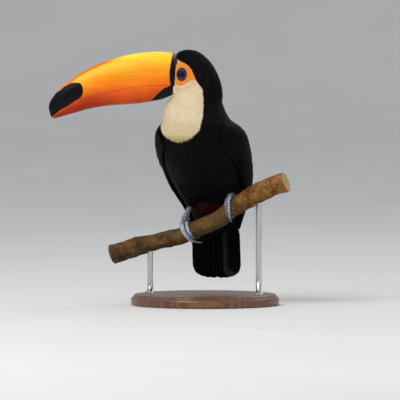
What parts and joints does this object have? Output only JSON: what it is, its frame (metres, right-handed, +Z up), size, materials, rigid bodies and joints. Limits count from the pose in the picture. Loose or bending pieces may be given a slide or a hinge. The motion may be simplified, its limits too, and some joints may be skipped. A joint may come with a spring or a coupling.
{
  "type": "toco toucan on a cut branch with a display stand",
  "caption": "Life-size still model of a toco toucan gripping a short cut branch, held by a round base and two rods.",
  "frame": {"origin": "centre of the round base's flat underside, on the floor", "axes": "+Z up; the viewer stands at -Y, the bird's chest faces -Y turned 18 degrees to -X, and its bill points to -X"},
  "size_m": [0.3402, 0.21, 0.3626],
  "materials": {
    "black_plumage": "soft body feathers, black with a faint brown sheen",
    "cream_bib": "short silky bib feathers, cream",
    "flight_feathers": "long smooth vanes, satin black",
    "tail_feathers": "long smooth vanes, satin black",
    "orange_bill": "thin horn, yellow to orange with a black tip and base, soft gloss",
    "red_orange_bill": "thin horn, orange to red, soft gloss",
    "eye": "wet dark brown eye",
    "foot_scutes": "blue grey scaly skin with pale scute edges",
    "claw_horn": "grey horn, satin",
    "bark": "rough brown bark with pale cut ends",
    "stand_wood": "turned and waxed walnut",
    "stand_steel": "drawn steel rod"
  },
  "bodies": {
    "root": {"head": "black_plumage", "neck": "cream_bib", "trunk": "black_plumage", "thigh_left": "black_plumage", "thigh_right": "black_plumage", "wing_left": "flight_feathers", "wing_right": "flight_feathers", "tail": "tail_feathers", "bill_upper": "orange_bill", "bill_lower": "red_orange_bill", "eye_left": "eye", "eye_right": "eye", "foot_left": "foot_scutes", "foot_right": "foot_scutes", "claw_left_front_outer": "claw_horn", "claw_left_front_inner": "claw_horn", "claw_left_back_outer": "claw_horn", "claw_left_back_inner": "claw_horn", "claw_right_front_outer": "claw_horn", "claw_right_front_inner": "claw_horn", "claw_right_back_outer": "claw_horn", "claw_right_back_inner": "claw_horn", "perch_branch": "bark", "stand_base": "stand_wood", "stand_rod_low": "stand_steel", "stand_rod_high": "stand_steel"}
  },
  "joints": []
}
